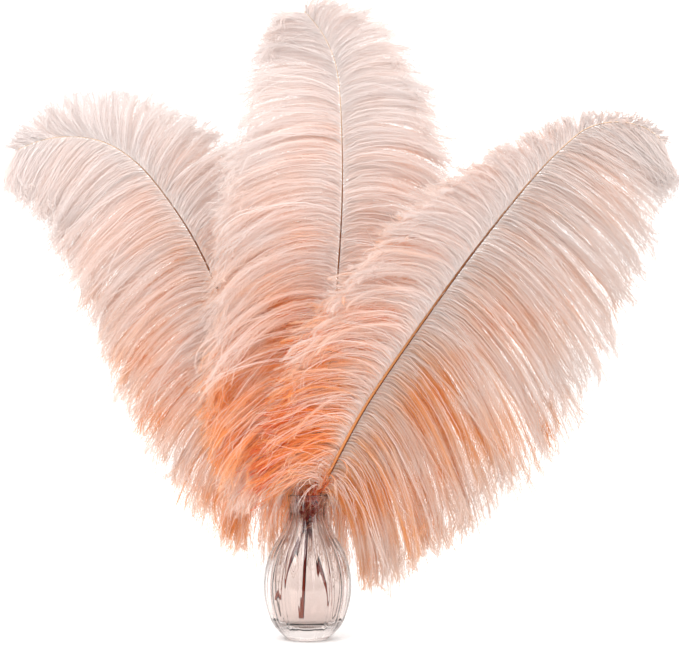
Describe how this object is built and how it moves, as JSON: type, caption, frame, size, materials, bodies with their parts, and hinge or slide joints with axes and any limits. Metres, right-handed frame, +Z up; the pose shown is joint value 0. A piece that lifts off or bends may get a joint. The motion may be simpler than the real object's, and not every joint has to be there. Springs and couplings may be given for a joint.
{
  "type": "ostrich feather bouquet",
  "caption": "Dyed ostrich plumes with long drooping barbs, standing fanned out in a small ribbed clear glass bud vase.",
  "frame": {"origin": "centre of the vase's round foot, on the surface that it stands on", "axes": "+Z up along the vase's axis, -Y towards the side from which the bunch is looked at, +X to that viewer's right"},
  "size_m": [0.437, 0.1258, 0.4216],
  "materials": {
    "clear_glass": "clear pressed glass, smooth and bright, with soft upright ribs",
    "dyed_plume": "soft matt feather barbs dyed blush, deeper peach and orange towards the shaft and the base"
  },
  "bodies": {
    "root": {"vase": "clear_glass", "feather_left": "dyed_plume", "feather_centre": "dyed_plume", "feather_right": "dyed_plume"}
  },
  "joints": []
}
